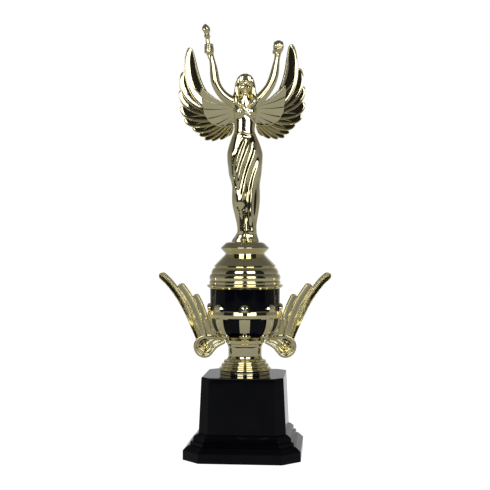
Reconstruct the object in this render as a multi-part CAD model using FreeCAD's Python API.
"""Figure trophy: a winged figure on a ribbed lid, a cup with two wing handles, and a stepped black base.

Millimetres, +Z up. The origin is on the rod's axis, at the underside of the felt pad, and the base's
plate face looks along -Y. One threaded rod clamps the stack, from a nut in the figure's foot
to a nut in the base's underside.
"""

import FreeCAD
import Part

import os
from math import cos, hypot, radians, sin

from FreeCAD import Matrix, Placement, Rotation, Vector

# ---- driving dimensions -------------------------------------------------------------------
TOTAL_HEIGHT = 300.0        # felt pad to the tip of the torch's flame
FOOT_HALF = 40.0            # half the width of the base's foot
FOOT_CHAMFER = 12.0         # corner chamfer of the foot
CHAMFER_SHRINK = 0.5        # the chamfer loses this much per millimetre that a section is smaller
BASE_BOTTOM = 0.4           # the foot's rim stands this far above the surface, on the felt pad
BASE_TOP = 55.7
BASE_WALL = 2.6
BASE_EDGE_ROUND = 0.7
PAD_THICK = 1.4
PAD_INSET = 3.0

ROD_R = 3.0                 # M6
ROD_CLEAR_R = 3.3
NUT_ACROSS = 10.0
NUT_HIGH = 5.0
ROD_BOTTOM = 3.0
ROD_TOP = 151.0
SEAT_Z = 13.0               # the boss in the base that the lower washer bears on
BOSS_R = 7.5
POCKET_R = 12.5             # clearance for the spanner round the lower nut

GAP = 0.05                  # between faces that meet across a turning joint
CUP_TURN = 4.4              # degrees that the cup sits off the base's front
FIGURE_TURN = 8.4           # degrees that the figure sits off the base's front

PEDESTAL_FOOT_R = 17.7
STEM_R = 11.7
PEDESTAL_TOP = 75.2
SHELL_WALL = 1.8

RIB_COUNT = 8
RIB_HALF_ANGLE = 8.4        # degrees
RIB_SPINE = ((16.2, 80.8, 1.0), (20.6, 85.0, 1.15), (23.4, 90.0, 1.2), (24.5, 95.4, 1.2))  # x, z, radius
WINDOW_LOW, WINDOW_HIGH = 82.2, 95.0
WINDOW_CUT = 2.6            # chamfer of each window's lower corners
RING_LOW, RING_HIGH = 95.0, 100.6
RING_R = 26.3
LINER_R = 24.6
LINER_TOP = 116.4
LINER_WALL = 1.5
LINER_GAP = 0.1
CROCKET_HALF, CROCKET_HIGH, CROCKET_THICK = 4.4, 4.5, 2.6
KNOB_AT, KNOB_RADII = (18.6, 0, 83.0), (2.1, 3.2, 2.6)

LID_LOW, LID_TOP = 115.6, 139.5

FLANGE_LOW = LID_TOP + GAP
FLANGE_R = 16.9
SHOULDER_Z = 147.6

HANDLE_THICK = 4.6
SCROLL_R, SCROLL_THICK = 6.8, 6.4
SCROLL_X, SCROLL_Z = 28.2, 73.9
BUTTON_R, BUTTON_PROUD = 2.7, 0.8
PEG_R = 1.2
PEG_CLEAR = 0.05

WING_SWEEP = 22.0           # degrees that each wing leans back from the figure's plane
WING_THICK = 1.7
WING_ROOT = (6.0, 240.0)    # across and up, where a wing plugs into the back
WING_ROOT_Y = 5.2
RIGHT_WING_RAISE = 5.0      # degrees that the right wing sits higher than the left one

OUT = "parts"


# ---- helpers ------------------------------------------------------------------------------
def export(name, shape):
    shape.exportStep(os.path.join(OUT, name + ".step"))
    print(f"{name:16s} solids {len(shape.Solids)} valid {shape.isValid()} volume {shape.Volume:9.1f}")


def turned_about_z(shape, angle):
    moved = shape.copy()
    moved.rotate(Vector(0, 0, 0), Vector(0, 0, 1), angle)
    return moved


def wire(path, y=0.0):
    """A closed wire in the XZ plane. Each entry is (x, z), or (xm, zm, x, z) for an arc through (xm, zm)."""
    edges, here = [], Vector(path[0][0], y, path[0][1])
    start = here
    for step in path[1:]:
        there = Vector(step[-2], y, step[-1])
        if len(step) == 4:
            edges.append(Part.Arc(here, Vector(step[0], y, step[1]), there).toShape())
        else:
            edges.append(Part.makeLine(here, there))
        here = there
    if (here - start).Length > 1e-6:
        edges.append(Part.makeLine(here, start))
    return Part.Wire(edges)


def turned(path):
    """The solid that a closed profile of (radius, z) steps sweeps about the Z axis."""
    face = Part.Face(wire(path))
    return face.revolve(Vector(0, 0, 0), Vector(0, 0, 1), 360)


def slab(path, thick, y=0.0):
    """A closed outline in the XZ plane, given thickness along Y and centred on y."""
    face = Part.Face(wire(path, y - thick / 2))
    return face.extrude(Vector(0, thick, 0))


def cylinder(radius, low, high):
    return Part.makeCylinder(radius, high - low, Vector(0, 0, low))


def bored(shape, low, high, radius=ROD_CLEAR_R):
    return shape.cut(cylinder(radius, low, high))


def ball(centre, rx, ry, rz):
    """An ellipsoid."""
    stretch = Matrix()
    stretch.scale(rx, ry, rz)
    shape = Part.makeSphere(1.0).transformGeometry(stretch)
    shape.translate(Vector(*centre))
    return shape


def ellipse_wire(cx, cy, z, rx, ry):
    if rx >= ry:
        edge = Part.Ellipse(Vector(cx, cy, z), rx, ry)
        return Part.Wire(edge.toShape())
    edge = Part.Ellipse(Vector(cx, cy, z), ry, rx)
    shape = edge.toShape()
    shape.rotate(Vector(cx, cy, z), Vector(0, 0, 1), 90)
    return Part.Wire(shape)


def limb(stations):
    """A round limb through stations of (x, y, z, radius)."""
    rings = []
    for i, (x, y, z, radius) in enumerate(stations):
        before = stations[max(i - 1, 0)]
        after = stations[min(i + 1, len(stations) - 1)]
        along = Vector(after[0] - before[0], after[1] - before[1], after[2] - before[2])
        rings.append(Part.Wire(Part.Circle(Vector(x, y, z), along, radius).toShape()))
    return Part.makeLoft(rings, True, False)


def hexagon(across, low, high):
    corner = across / 2 / cos(radians(30))
    points = [Vector(corner * cos(radians(60 * k)), corner * sin(radians(60 * k)), low) for k in range(7)]
    return Part.Face(Part.makePolygon(points)).extrude(Vector(0, 0, high - low))


def fused(shapes):
    return shapes[0].multiFuse(shapes[1:]).removeSplitter()


# ---- base ---------------------------------------------------------------------------------
FOOT_PROFILE = (            # half width and height of each section, from the floor up
    (FOOT_HALF, BASE_BOTTOM),
    (FOOT_HALF, 6.8),
    (36.6, 10.0),
    (35.3, 10.3),
    (35.0, 12.7),
    (33.5, 13.1),
    (33.1, 15.7),
    (31.0, 17.3),
    (29.8, 17.8),
    (28.05, BASE_TOP),
)


def octagon(half, z, inset=0.0):
    """The corners of a square with cut corners, its sides moved in by inset."""
    chamfer = FOOT_CHAMFER - CHAMFER_SHRINK * (FOOT_HALF - half) - inset * (2 - 2 ** 0.5)
    h = half - inset
    return [Vector(x, y, z) for x, y in (
        (h, -h + chamfer), (h, h - chamfer), (h - chamfer, h), (-h + chamfer, h),
        (-h, h - chamfer), (-h, -h + chamfer), (-h + chamfer, -h), (h - chamfer, -h))]


def stacked(sections):
    """A solid with flat faces through octagons from the lowest to the highest."""
    faces = [Part.Face(Part.makePolygon(ring + ring[:1])) for ring in (sections[0][::-1], sections[-1])]
    for low, high in zip(sections, sections[1:]):
        for k in range(8):
            n = (k + 1) % 8
            faces.append(Part.Face(Part.makePolygon([low[k], low[n], high[n], high[k], low[k]])))
    return Part.makeSolid(Part.makeShell(faces))


def cavity(clearance=0.0):
    inset = BASE_WALL + clearance
    return stacked([
        octagon(FOOT_HALF, PAD_THICK + clearance, inset),
        octagon(FOOT_HALF, 6.0, inset),
        octagon(33.1, 12.4, inset),
        octagon(29.6, 17.8, inset),
        octagon(28.1, BASE_TOP - BASE_WALL - clearance, inset),
    ])


def base_shell():
    outer = stacked([octagon(half, z) for half, z in FOOT_PROFILE])
    block = [e for e in outer.Edges
             if min(v.Z for v in e.Vertexes) > 17.7 and max(v.Z for v in e.Vertexes) > BASE_TOP - 0.1]
    outer = outer.makeFillet(BASE_EDGE_ROUND, block)
    recess = stacked([octagon(FOOT_HALF, BASE_BOTTOM - 0.1, PAD_INSET - 0.2),
                      octagon(FOOT_HALF, PAD_THICK, PAD_INSET - 0.2)])
    shell = outer.cut(cavity().fuse(recess))
    boss = cylinder(BOSS_R, SEAT_Z, BASE_TOP - BASE_WALL / 2)
    return bored(shell.fuse(boss), 0, BASE_TOP + 5)


def ballast_block():
    block = cavity(0.1)
    block = block.cut(cylinder(BOSS_R + 0.2, 0, BASE_TOP))
    return block.cut(cylinder(POCKET_R, 0, SEAT_Z))


def felt_pad():
    return stacked([octagon(FOOT_HALF, 0.0, PAD_INSET), octagon(FOOT_HALF, PAD_THICK - 0.02, PAD_INSET)])


# ---- clamp hardware -----------------------------------------------------------------------
def washer(low, high, outer, inner):
    return cylinder(outer, low, high).cut(cylinder(inner, low, high))


def nut(low):
    high = low + NUT_HIGH
    crown = turned([(0, low), (4.7, low), (5.78, low + 0.6), (5.78, high - 0.6), (4.7, high), (0, high)])
    return hexagon(NUT_ACROSS, low, high).common(crown).cut(cylinder(ROD_R, low, high))


def tie_rod():
    point = 0.7
    return turned([(0, ROD_BOTTOM), (ROD_R - point, ROD_BOTTOM), (ROD_R, ROD_BOTTOM + point),
                   (ROD_R, ROD_TOP - point), (ROD_R - point, ROD_TOP), (0, ROD_TOP)])


WASHER_LOW = SEAT_Z - 1.6
LOCK_LOW = WASHER_LOW - GAP - 1.6
BASE_NUT_LOW = LOCK_LOW - NUT_HIGH


def base_washer():
    return washer(WASHER_LOW, SEAT_Z, 9.0, 3.2)


def lock_washer():
    """A split spring washer, shown pressed flat."""
    ring = washer(LOCK_LOW, WASHER_LOW - GAP, 5.9, 3.1)
    slot = Part.makeBox(4.0, 0.6, 4.0, Vector(2.6, -0.3, LOCK_LOW - 1))
    return ring.cut(slot)


# ---- cup ----------------------------------------------------------------------------------
def pedestal():
    low = BASE_TOP + GAP
    foot = PEDESTAL_FOOT_R
    return turned([
        (foot - SHELL_WALL, low), (foot - 0.2, low), (foot, low + 0.2), (foot, 57.7), (foot - 0.3, 57.9),
        (18.3, 59.1, 17.3, 60.4), (16.2, 60.6),
        (16.7, 61.8, 15.7, 63.0), (14.6, 63.2),
        (15.0, 64.3, 14.0, 65.5), (13.2, 65.7),
        (12.2, 66.8, STEM_R, 68.8), (STEM_R, 73.4), (STEM_R + 0.2, 74.6, STEM_R + 0.5, PEDESTAL_TOP),
        (ROD_CLEAR_R, PEDESTAL_TOP), (ROD_CLEAR_R, PEDESTAL_TOP - 6.0),
        (6.0, PEDESTAL_TOP - 6.0), (6.0, PEDESTAL_TOP - 2.2),
        (STEM_R - SHELL_WALL, PEDESTAL_TOP - 2.2), (STEM_R - SHELL_WALL, 67.6),
        (11.6, 64.4), (13.8, 61.4), (foot - SHELL_WALL, 57.8),
    ])


def bowl_outer(grow):
    """Profile of the bowl's outside from its foot up to the ring, moved out by grow."""
    return [(12.3 + grow, 75.3), (12.8 + grow, 77.0), (13.4 + grow, 77.4), (13.7 + grow, 79.4),
            (14.5 + grow, 79.6), (16.6 + grow, 81.0), (22.3 + grow, 86.4, 25.0 + grow, RING_LOW)]


def liner_profile(grow):
    """The bowl lining's outside, from its floor up to its rim, moved out by grow."""
    return [(12.0, 80.4 - grow), (15.4, 80.4 - grow),
            (21.1 + grow, 85.9, 23.5 + grow, RING_LOW), (LINER_R - 0.15 + grow, RING_HIGH),
            (LINER_R + grow, LINER_TOP)]


def window_shape():
    """One window's cutter: a wedge between two ribs whose lower corners are cut off."""
    step = 360 / RIB_COUNT
    wedge = Part.makeCylinder(40, WINDOW_HIGH - WINDOW_LOW, Vector(0, 0, WINDOW_LOW), Vector(0, 0, 1),
                              step - 2 * RIB_HALF_ANGLE)
    wedge = wedge.cut(cylinder(14, WINDOW_LOW, WINDOW_HIGH))
    wedge = turned_about_z(wedge, RIB_HALF_ANGLE - step / 2)
    half_width = 19.0 * sin(radians(step / 2 - RIB_HALF_ANGLE))
    for side in (-1, 1):
        corner = [Vector(10, side * (half_width - WINDOW_CUT), WINDOW_LOW - 1),
                  Vector(10, side * (half_width + 8), WINDOW_LOW - 1),
                  Vector(10, side * (half_width + 8), WINDOW_LOW + WINDOW_CUT + 8)]
        wedge = wedge.cut(Part.Face(Part.makePolygon(corner + corner[:1])).extrude(Vector(40, 0, 0)))
    return turned_about_z(wedge, step / 2)


def rib_spine(grow=0.0):
    """The rounded ridge down the middle of a rib, at +X."""
    return limb([(x, 0, z, radius + grow) for x, z, radius in RIB_SPINE])


def rib_knob(grow=0.0):
    """The rounded knob at a rib's foot, at +X."""
    return ball(KNOB_AT, *(radius + grow for radius in KNOB_RADII))


def bowl_cage():
    """The bowl's collar, eight ribs with a knob at each foot, the ring and the crockets, in one moulding."""
    shell = turned([(ROD_CLEAR_R, 75.3)] + bowl_outer(0) +
                   [(25.3, RING_LOW), (26.0, RING_LOW + 0.7), (RING_R, 97.9), (25.9, RING_HIGH - 0.6),
                    (25.4, RING_HIGH), (LINER_R + 0.1, RING_HIGH), (LINER_R, 97.5), (23.65, RING_LOW),
                    (21.2, 85.9, 15.5, 80.3), (ROD_CLEAR_R, 80.3)])
    shell = bored(shell, 60, 120)
    step = 360 / RIB_COUNT
    windows = [turned_about_z(window_shape(), step * k) for k in range(RIB_COUNT)]
    shell = shell.cut(windows[0].multiFuse(windows[1:]))
    trim = [crocket(), rib_knob(), rib_spine()]
    added = [turned_about_z(item, step * k) for k in range(RIB_COUNT) for item in trim]
    shell = fused([shell] + added).cut(liner_space())
    return turned_about_z(shell.cut(handle_sockets()), CUP_TURN)


def pointed_arch(x, scale):
    """A crocket's outline in the plane x, shrunk towards a point above the ring."""
    middle = RING_HIGH + 1.5
    low = RING_HIGH - 1.4
    spots = [(-CROCKET_HALF, low), (CROCKET_HALF, low), (CROCKET_HALF * 0.98, RING_HIGH + 1.2),
             (CROCKET_HALF * 0.62, RING_HIGH + 3.5), (0.0, RING_HIGH + CROCKET_HIGH),
             (-CROCKET_HALF * 0.62, RING_HIGH + 3.5), (-CROCKET_HALF * 0.98, RING_HIGH + 1.2)]
    v = [Vector(x, y * scale, middle + (z - middle) * scale) for y, z in spots]
    edges = [Part.makeLine(v[0], v[1]), Part.makeLine(v[1], v[2]), Part.Arc(v[2], v[3], v[4]).toShape(),
             Part.Arc(v[4], v[5], v[6]).toShape(), Part.makeLine(v[6], v[0])]
    return Part.Wire(edges)


def crocket():
    """One pointed dome standing on the ring, outside the lining, at +X."""
    foot = LINER_R - 0.6
    steps = ((0.0, 1.0), (1.5, 0.96), (2.4, 0.62), (CROCKET_THICK, 0.16))
    return Part.makeLoft([pointed_arch(foot + out, scale) for out, scale in steps], True, True)


def liner_space():
    """The room that the lining takes up, with a hair's clearance."""
    return turned([(0, 80.3)] + liner_profile(0.02) + [(0, LINER_TOP)])


def bowl_liner():
    outer = liner_profile(-LINER_GAP)
    inner = [(LINER_R - LINER_WALL - 0.1, LINER_TOP), (LINER_R - LINER_WALL - 0.2, RING_HIGH),
             (19.6, 87.0, 14.8, 82.0), (ROD_CLEAR_R, 82.0)]
    cup = turned([(ROD_CLEAR_R, outer[0][1])] + outer + inner)
    return bored(cup, 60, 120)


def lid_dome():
    """The stepped lid, a thin shell with a central boss that the figure's foot bears on."""
    seat = LINER_R + 0.15
    over = [(seat, LID_LOW), (25.2, LID_LOW), (26.5, 116.8), (26.75, 117.3, 26.3, 117.9), (25.2, 118.4),
            (24.7, 118.7), (24.95, 119.8, 24.5, 120.9), (24.3, 121.1),
            (24.9, 123.4, 23.7, 125.7), (23.5, 125.9),
            (23.0, 128.3, 20.9, 130.3), (21.5, 130.9), (21.5, 131.4), (14.0, 139.0), (13.9, LID_TOP)]
    under = [(ROD_CLEAR_R, LID_TOP), (ROD_CLEAR_R, 128.0), (6.4, 128.0), (6.4, 136.6), (11.6, 136.6),
             (18.8, 129.8), (20.4, 128.2), (21.9, 125.0), (22.6, 121.0), (22.9, LINER_TOP + 0.2),
             (seat, LINER_TOP + 0.2)]
    return turned(over + under)


# ---- handles, drawn for the +X side -------------------------------------------------------
HANDLE_OUTLINE = [          # from the scroll up the outer edge, over three feather ends, down the inner edge
    (34.9, 77.0), (40.6, 97.0, 60.0, 122.8),
    (60.2, 125.0, 57.9, 126.0), (53.4, 122.7, 48.9, 118.4),
    (45.2, 119.3, 41.9, 117.2), (39.8, 114.8, 37.8, 111.4),
    (34.2, 111.8, 31.0, 108.6), (28.7, 104.6, 27.0, 100.2),
    (26.8, 96.0), (25.9, 93.2, 24.4, 89.6), (20.6, 84.9), (22.0, 79.0),
]
TAIL_OUTLINE = [            # the stalk from the scroll's top to the bowl's collar
    (28.4, 80.7), (22.0, 79.9, 15.6, 81.3), (14.6, 79.2), (14.4, 77.3),
    (18.2, 75.4, 21.6, 71.2), (28.0, 70.0),
]
HANDLE_PEGS = ((24.9, 27.6, 97.5), (12.2, 16.0, 78.9))      # inner and outer x, and z


def peg(radius, low_x, high_x, z):
    return Part.makeCylinder(radius, high_x - low_x, Vector(low_x, 0, z), Vector(1, 0, 0))


def disc(radius, thick, x, z):
    """A round disc centred on the XZ plane."""
    return Part.makeCylinder(radius, thick, Vector(x, -thick / 2, z), Vector(0, 1, 0))


def handle_sockets():
    """Blind holes in the cage for both handles' pegs."""
    holes = [peg(PEG_R + PEG_CLEAR, low - 0.1, high + 12, z) for low, high, z in HANDLE_PEGS]
    right = holes[0].fuse(holes[1])
    return right.fuse(turned_about_z(right, 180))


def keep_out():
    """The cage's outside, with a hair's clearance, which the handles stay clear of."""
    grow = 0.08
    return turned([(0, 70.0), (11.9 + grow, 70.0)] + bowl_outer(grow) +
                  [(RING_R + 0.15, RING_LOW - 0.2), (RING_R + 0.15, RING_HIGH), (27.0, RING_HIGH),
                   (27.0, RING_HIGH + 5.0), (0, RING_HIGH + 5.0)])


def handle(side):
    blade = slab(HANDLE_OUTLINE, HANDLE_THICK)
    tail = slab(TAIL_OUTLINE, HANDLE_THICK)
    scroll = disc(SCROLL_R, SCROLL_THICK, SCROLL_X, SCROLL_Z)
    button = disc(BUTTON_R, SCROLL_THICK + 2 * BUTTON_PROUD, SCROLL_X, SCROLL_Z + 1.6)
    body = fused([blade, tail, scroll, button]).cut(keep_out())
    body = body.cut(rib_spine(GAP)).cut(rib_knob(GAP))
    body = fused([body] + [peg(PEG_R, low, high, z) for low, high, z in HANDLE_PEGS])
    return turned_about_z(body, CUP_TURN + (0 if side > 0 else 180))


# ---- figure -------------------------------------------------------------------------------
BODY_SECTIONS = (           # centre x, height, half width, half depth, from the hem up to the shoulders
    (0.9, 148.6, 9.2, 8.6), (1.3, 152.0, 7.4, 7.6), (1.6, 157.0, 6.1, 6.4), (1.5, 163.5, 6.6, 6.4),
    (1.1, 170.5, 8.2, 7.0), (0.9, 178.0, 9.2, 7.8), (0.9, 186.5, 9.1, 7.4), (0.8, 193.5, 10.5, 8.0),
    (0.3, 203.0, 12.0, 9.2), (0.2, 209.5, 12.1, 9.4), (0.0, 217.5, 10.6, 8.2), (-0.1, 225.6, 7.8, 6.0),
    (-0.1, 233.0, 8.3, 6.6), (0.0, 240.5, 9.5, 7.0), (0.0, 246.0, 8.8, 5.6), (0.0, 249.5, 5.6, 4.6),
)
TORCH_ARM = ((-6.2, 0.4, 245.4, 3.8), (-12.4, -0.2, 250.2, 3.5), (-18.6, -0.6, 256.2, 3.15),
             (-20.9, -0.8, 260.4, 2.95), (-22.2, -1.2, 267.8, 2.8), (-23.4, -1.6, 275.6, 2.1),
             (-24.2, -1.8, 278.0, 2.2))
BARE_ARM = ((6.2, 0.4, 245.4, 3.8), (11.4, -0.2, 249.6, 3.5), (15.9, -0.6, 254.4, 3.15),
            (18.2, -0.8, 259.2, 2.95), (20.1, -1.2, 268.2, 2.8), (21.8, -1.6, 276.2, 2.1),
            (22.4, -1.8, 278.6, 2.2))
TORCH_FIST, BARE_FIST = (-25.3, -2.0, 281.2), (22.9, -2.0, 282.0)


def figure_foot():
    """The round foot with its bevelled flange and the socket for the nut."""
    return turned([(0, FLANGE_LOW), (13.8, FLANGE_LOW), (13.9, 139.9), (FLANGE_R - 0.3, 143.2),
                   (FLANGE_R + 0.1, 143.6, FLANGE_R - 0.3, 144.1), (13.0, 147.2), (12.0, SHOULDER_Z),
                   (9.3, 148.4, 7.6, 151.4), (0, 151.4)])


def head_and_hair():
    skull = ball((0.0, 0.0, 258.4), 5.6, 6.2, 6.4)
    hair = Part.makeLoft([ellipse_wire(0, 1.6, z, rx, ry) for z, rx, ry in
                          ((245.6, 8.4, 4.4), (249.5, 7.9, 5.0), (253.5, 7.2, 5.4), (258.5, 6.6, 5.6),
                           (261.6, 5.6, 5.0), (263.9, 3.4, 3.2))], True, False)
    neck = Part.makeCylinder(2.9, 10.0, Vector(0, 0.2, 245.5))
    return [skull, hair, neck]


def torch():
    """The torch, upright on Z from the fist, then leaned to follow the arm."""
    flame = turned([(0, -7.0), (1.2, -7.0), (1.2, 5.0), (1.5, 6.0), (2.4, 8.6), (2.3, 10.0),
                    (2.9, 13.6, 0.9, 18.2), (0, TOTAL_HEIGHT - TORCH_FIST[2])])
    flame.rotate(Vector(0, 0, 0), Vector(0, 1, 0), -8.2)
    flame.translate(Vector(*TORCH_FIST))
    return flame


def figure_body():
    robe = Part.makeLoft([ellipse_wire(cx, 0.0, z, rx, ry) for cx, z, rx, ry in BODY_SECTIONS], True, False)
    fists = [ball(TORCH_FIST, 3.6, 3.9, 4.6), ball(BARE_FIST, 3.9, 3.9, 4.8)]
    pieces = [figure_foot(), robe] + head_and_hair() + [limb(TORCH_ARM), limb(BARE_ARM)] + fists + [torch()]
    body = fused(pieces)
    body = body.cut(hexagon(NUT_ACROSS + 0.2, FLANGE_LOW - 1, FLANGE_LOW + 1.0 + NUT_HIGH))
    body = bored(body, FLANGE_LOW, ROD_TOP + 0.6)
    for side in (-1, 1):
        body = body.cut(wing_peg(side, PEG_CLEAR))
    return turned_about_z(body, FIGURE_TURN)


def figure_nut():
    return turned_about_z(nut(FLANGE_LOW + 0.9), FIGURE_TURN)


# ---- wings, drawn flat for the +X side with the root at the origin ------------------------
PRIMARIES = (               # tip across and up, bend across and up, half width; from the top feather down
    (35.3, 47.5, 36.7, 5.6, 4.4), (40.4, 30.3, 42.0, 8.5, 4.2), (42.6, 17.3, 40.2, 4.2, 4.1),
    (42.4, 5.6, 38.1, -3.5, 3.9), (39.5, -3.5, 32.8, -8.8, 3.8), (33.2, -10.0, 23.5, -12.4, 3.6),
    (27.4, -15.6, 19.0, -13.6, 3.4), (22.6, -18.9, 14.4, -14.4, 3.2), (16.0, -18.7, 10.6, -12.6, 3.0),
    (8.4, -16.3, 6.8, -9.6, 2.8), (3.7, -13.8, 3.6, -7.4, 2.6),
)
FEATHER_ROOT = (3.0, -1.0)
TIP_BACK, TIP_SHARE = 1.6, 0.6      # where the sides turn in to the tip, and how much width is left there
COVERT_OUTLINE = [(0.6, -9.0), (14.2, -9.6, 20.4, -5.0), (24.2, 3.0, 23.2, 17.0),
                  (15.0, 9.6, 0.6, 3.6)]


def feather(tip_u, tip_v, bend_u, bend_v, half):
    """A blade from the wing's root to its tip, bowed towards its bend."""
    root_u, root_v = FEATHER_ROOT
    mid_u = 0.25 * root_u + 0.5 * bend_u + 0.25 * tip_u
    mid_v = 0.25 * root_v + 0.5 * bend_v + 0.25 * tip_v
    length = hypot(tip_u - root_u, tip_v - root_v)
    side_u, side_v = -(tip_v - root_v) / length * half, (tip_u - root_u) / length * half
    end = hypot(tip_u - bend_u, tip_v - bend_v)
    ahead_u, ahead_v = (tip_u - bend_u) / end, (tip_v - bend_v) / end
    neck_u, neck_v = tip_u - ahead_u * TIP_BACK, tip_v - ahead_v * TIP_BACK
    flank_u, flank_v = -ahead_v * half * TIP_SHARE, ahead_u * half * TIP_SHARE
    outline = [(root_u, root_v - 1.0),
               (mid_u - side_u, mid_v - side_v, neck_u - flank_u, neck_v - flank_v),
               (tip_u, tip_v, neck_u + flank_u, neck_v + flank_v),
               (mid_u + side_u, mid_v + side_v, root_u, root_v + 1.0)]
    return slab(outline, WING_THICK)


def wing_placement(side):
    raised = RIGHT_WING_RAISE if side > 0 else 0.0
    place = Placement(Vector(side * WING_ROOT[0], WING_ROOT_Y, WING_ROOT[1]), Rotation())
    lean = Placement(Vector(), Rotation(Vector(0, 0, 1), side * WING_SWEEP))
    lift = Placement(Vector(), Rotation(Vector(0, -1, 0), side * raised))
    return place.multiply(lean).multiply(lift)


def wing_peg(side, clearance=0.0):
    """The peg at the wing's root, in place, which goes into the figure's back."""
    pin = Part.makeCylinder(1.6 + clearance, 5.6, Vector(1.4, -4.6 - clearance, -1.0), Vector(0, 1, 0))
    if side < 0:
        pin = pin.mirror(Vector(0, 0, 0), Vector(1, 0, 0))
    pin.Placement = wing_placement(side).multiply(pin.Placement)
    return pin


def wing(side):
    blades = []
    for k, sizes in enumerate(PRIMARIES):
        blade = feather(*sizes)
        blade.translate(Vector(0, 0.12 * (k % 2), 0))
        blades.append(blade)
    covert = slab(COVERT_OUTLINE, WING_THICK + 1.0, -0.3)
    shape = fused(blades + [covert])
    if side < 0:
        shape = shape.mirror(Vector(0, 0, 0), Vector(1, 0, 0))
    shape.Placement = wing_placement(side).multiply(shape.Placement)
    shape = shape.cut(torso_keep_out())
    shape = shape.fuse(wing_peg(side))
    return turned_about_z(shape, FIGURE_TURN)


def torso_keep_out():
    """The torso's outside with a hair's clearance, which the wings stay clear of."""
    grow = 0.06
    rings = [ellipse_wire(cx, 0.0, z, rx + grow, ry + grow) for cx, z, rx, ry in BODY_SECTIONS]
    return Part.makeLoft(rings, True, False)


# ---- the whole trophy ---------------------------------------------------------------------
def main():
    os.makedirs(OUT, exist_ok=True)
    export("base_shell", base_shell())
    export("ballast_block", ballast_block())
    export("felt_pad", felt_pad())
    export("base_washer", base_washer())
    export("lock_washer", lock_washer())
    export("base_nut", nut(BASE_NUT_LOW))
    export("tie_rod", tie_rod())
    export("pedestal", pedestal())
    export("bowl_cage", bowl_cage())
    export("bowl_liner", bowl_liner())
    export("lid_dome", lid_dome())
    export("handle_right", handle(1))
    export("handle_left", handle(-1))
    export("figure_body", figure_body())
    export("figure_nut", figure_nut())
    export("wing_right", wing(1))
    export("wing_left", wing(-1))


main()
